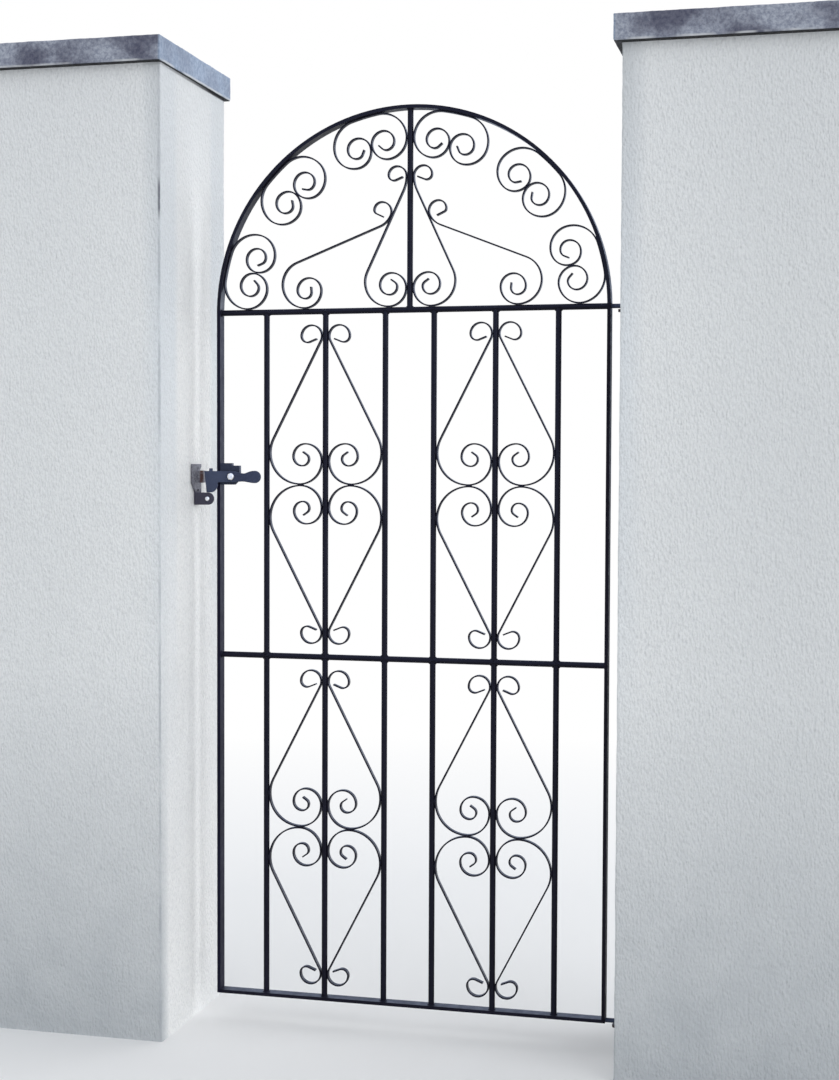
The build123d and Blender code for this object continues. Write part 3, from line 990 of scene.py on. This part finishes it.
# %% Welds round the bars
rings = []
for number in range(1, 7):
    low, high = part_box(f"bar_{number}")
    x = (low[0] + high[0]) / 2
    rings.append(weld_ring(flat_ring, (x, gate_y, bottom_rail_z + rail_half)))
    rings.append(weld_ring(saddled_ring, (x, gate_y, middle_rail_z - bar_radius), facing=-1))
    rings.append(weld_ring(saddled_ring, (x, gate_y, middle_rail_z + bar_radius)))
    rings.append(weld_ring(saddled_ring, (x, gate_y, top_rail_z - bar_radius), facing=-1))
centre_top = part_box("centre_bar")[1][2]
rings.append(weld_ring(saddled_ring, (0, gate_y, top_rail_z + bar_radius)))
rings.append(weld_ring(flat_ring, (0, gate_y, centre_top), facing=-1))
bar_welds = join(rings, "bar_welds")
print(len(rings), "rings,", len(bar_welds.data.polygons), "faces")

# %% [markdown]
# The two round rails end on the flat bars of the frame, so each of their ends gets a flat ring,
# turned to lie against the bar. The two patterns have then done their work and are removed, and
# all the rings get their lumps and the paint of the bars.

# %% Welds at the ends of the rails
lump_size, lump_depth = 0.003, 0.0011

rail_ends = []
for name, z in (("middle_rail", middle_rail_z), ("top_rail", top_rail_z)):
    low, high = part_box(name)
    for x, side in ((low[0], 1), (high[0], -1)):
        rail_ends.append(weld_ring(flat_ring, (x, gate_y, z), turn=side * math.pi / 2))
rail_welds = join(rail_ends, "rail_welds")
for pattern in (flat_ring, saddled_ring):
    bpy.data.objects.remove(pattern)
for welds in (bar_welds, rail_welds):
    pick(welds)
    edit()
    bpy.ops.mesh.normals_make_consistent(inside=False)
    leave_edit()
    press(welds, welds.name + "_lumps", lump_size, lump_depth)
    smooth(welds, 70)
    dress(welds, iron_paint)
    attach(welds, "leaf")
print("rail welds", len(rail_welds.data.polygons), "faces")

# %% [markdown]
# The scrolls are tacked on where they touch a bar, the bow or each other. To find those places
# the script measures: for every pair of neighbours it looks for the points where their surfaces
# come closest, and takes the middle of them. A tack is a small elongated blob on the front and on
# the back edge of the strips, laid along the seam. Like the rings it is modelled once and copied.

# %% Where the scrolls touch
strip_half = 0.005
search_reach = 0.004
seam_gap = 0.0006
seam_spacing = 0.03


def seam(first_name, second_name):
    """The places where two CAD pieces touch, and the direction of the seam in each."""
    first, second = nodes[first_name].data, nodes[second_name].data
    corners = [vertex.co for vertex in second.vertices]
    second_tree = BVHTree.FromPolygons(corners, [face.vertices for face in second.polygons])
    close = []
    for vertex in first.vertices:
        hit, normal, index, distance = second_tree.find_nearest(vertex.co, search_reach)
        if hit is not None:
            close.append((distance, vertex.co.copy(), hit))
    groups = []
    for distance, point, hit in sorted(close, key=lambda item: item[0]):
        if distance > seam_gap:
            break
        for group in groups:
            if (group[0][1] - point).length < seam_spacing:
                group.append((distance, point, hit))
                break
        else:
            groups.append([(distance, point, hit)])
    places = []
    for group in groups:
        middle = sum((point + hit for distance, point, hit in group), Vector()) / (2 * len(group))
        closest, closest_hit = group[0][1:]
        across = Vector((closest.x - closest_hit.x, 0, closest.z - closest_hit.z))
        places.append((middle, across))
    return places


neighbours = []
for side in ("left", "right"):
    kinds = ("low", "middle", "high", "inner_long", "outer_long")
    low_scroll, middle_scroll, high_scroll, inner, outer = (
        f"arch_{kind}_scroll_{side}" for kind in kinds
    )
    neighbours += [(low_scroll, "bow"), (middle_scroll, "bow"), (high_scroll, "bow")]
    neighbours += [(low_scroll, "top_rail"), (high_scroll, "centre_bar")]
    neighbours += [(inner, "centre_bar"), (inner, "top_rail")]
    neighbours += [(outer, "top_rail"), (outer, inner)]
    panel_bars = (1, 2, 3) if side == "left" else (4, 5, 6)
    for level in ("upper", "lower"):
        pairs = [f"{level}_{side}_panel_{end}_scrolls" for end in ("top", "bottom")]
        neighbours += [(pair, f"bar_{number}") for pair in pairs for number in panel_bars]
        neighbours.append(tuple(pairs))

seams = []
for first_name, second_name in neighbours:
    found = seam(first_name, second_name)
    print(first_name, second_name, len(found))
    seams += found
print(len(seams), "places where scrolls are tacked")

# %% [markdown]
# Now that the places are known, a sphere is squashed into a tack and copied, twice to each place:
# once for the front edges of the strips and once for their back edges. The direction from one
# strip to the other, crossed with Y, is the way the seam runs, and each tack is turned along it.

# %% Tacks
tack_size = (0.006, 0.0013, 0.0024)
tack_lump_size, tack_lump_depth = 0.003, 0.0006

bpy.ops.mesh.primitive_uv_sphere_add(segments=12, ring_count=8, radius=1)
tack_pattern = bpy.context.object
tacks = []
for middle, across in seams:
    for front in (-1, 1):
        tack = copy_of(tack_pattern, "tack")
        tack.scale = tack_size
        lie = across.cross(Vector((0, 1, 0)))
        angle = -math.atan2(lie.z, lie.x) if lie.length > 1e-7 else 0
        tack.rotation_euler = (0, angle, 0)
        tack.location = (middle.x, gate_y + front * strip_half, middle.z)
        tacks.append(settle(tack))
bpy.data.objects.remove(tack_pattern)
scroll_welds = join(tacks, "scroll_welds")
press(scroll_welds, "tack_lumps", tack_lump_size, tack_lump_depth)
smooth(scroll_welds, 70)
dress(scroll_welds, iron_paint)
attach(scroll_welds, "leaf")
print(len(tacks), "tacks")

# %% [markdown]
# The wall plates of the hinges and the latch's keeper are screwed to the masonry. A screw head
# starts as a low cylinder. Its top is inset and raised to give it a sloping rim, and the middle
# is inset twice more and pressed in for the driver. It is modelled once and copied to its places,
# each copy turned a little further, as screws are never lined up.

# %% Screws
further_turn = 0.7


def screw(radius, thickness):
    """A pan-head screw that points along X, with its underside at X 0."""
    bpy.ops.mesh.primitive_cylinder_add(
        vertices=24,
        radius=radius,
        depth=thickness,
        location=(0, 0, thickness / 2),
    )
    head = settle(bpy.context.object)
    top = [face.index for face in head.data.polygons if face.normal.z > 0.9][0]
    edit()
    bpy.ops.mesh.select_mode(type="FACE")
    leave_edit()
    head.data.polygons[top].select = True
    edit(everything=False)
    bpy.ops.mesh.inset(thickness=radius * 0.25, depth=thickness * 0.3)
    bpy.ops.mesh.inset(thickness=radius * 0.3, depth=0)
    bpy.ops.mesh.inset(thickness=radius * 0.05, depth=-thickness * 0.6)
    leave_edit()
    head.rotation_euler = (0, math.pi / 2, 0)
    return settle(head)


def screws(name, places, facing, finish, radius, thickness):
    """Copies of one screw on a plate that faces along X (1) or against it (-1)."""
    pattern = screw(radius, thickness)
    heads = []
    for number, (x, y, z) in enumerate(places):
        head = copy_of(pattern, f"head_{number}")
        head.rotation_euler = (number * further_turn, 0, 0 if facing > 0 else math.pi)
        head.location = (x, y, z)
        heads.append(settle(head))
    bpy.data.objects.remove(pattern)
    group = join(heads, name)
    smooth(group, 35)
    dress(group, finish)
    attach(group, "masonry")
    return group


print("screw helpers ready")

# %% [markdown]
# Each hinge eye stands on a square plate with a screw in every corner. The plate faces back into
# the gateway, against X, so its screws do too.

# %% Screws of the hinge plates
hinge_plate = 0.004
hinge_screw_reach = 0.0125
reaches = (-hinge_screw_reach, hinge_screw_reach)

for level in ("upper", "lower"):
    low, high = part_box(f"{level}_hinge_eye")
    plate_x = high[0] - hinge_plate
    plate_z = (low[2] + high[2]) / 2
    corners = [(plate_x, gate_y + y, plate_z + z) for y in reaches for z in reaches]
    hinge_screws = screws(
        f"{level}_hinge_screws",
        corners,
        -1,
        hinge_paint,
        radius=0.0034,
        thickness=0.0022,
    )
    print(hinge_screws.name, len(corners), "screws")

# %% [markdown]
# The keeper's plate is held by two smaller and flatter screws, one above its leg and one below.
# They are as worn as the plate, so they share its finish.

# %% Screws of the keeper
keeper_plate = 0.003
keeper_screw_y = 0.012
latch_z = 1.1352

keeper_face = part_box("latch_keeper")[0][0] + keeper_plate
keeper_places = [(keeper_face, keeper_screw_y, latch_z + rise) for rise in (0.018, -0.028)]
keeper_screws = screws(
    "keeper_screws",
    keeper_places,
    1,
    keeper_finish,
    radius=0.0032,
    thickness=0.0012,
)
print(keeper_screws.name, len(keeper_places), "screws")
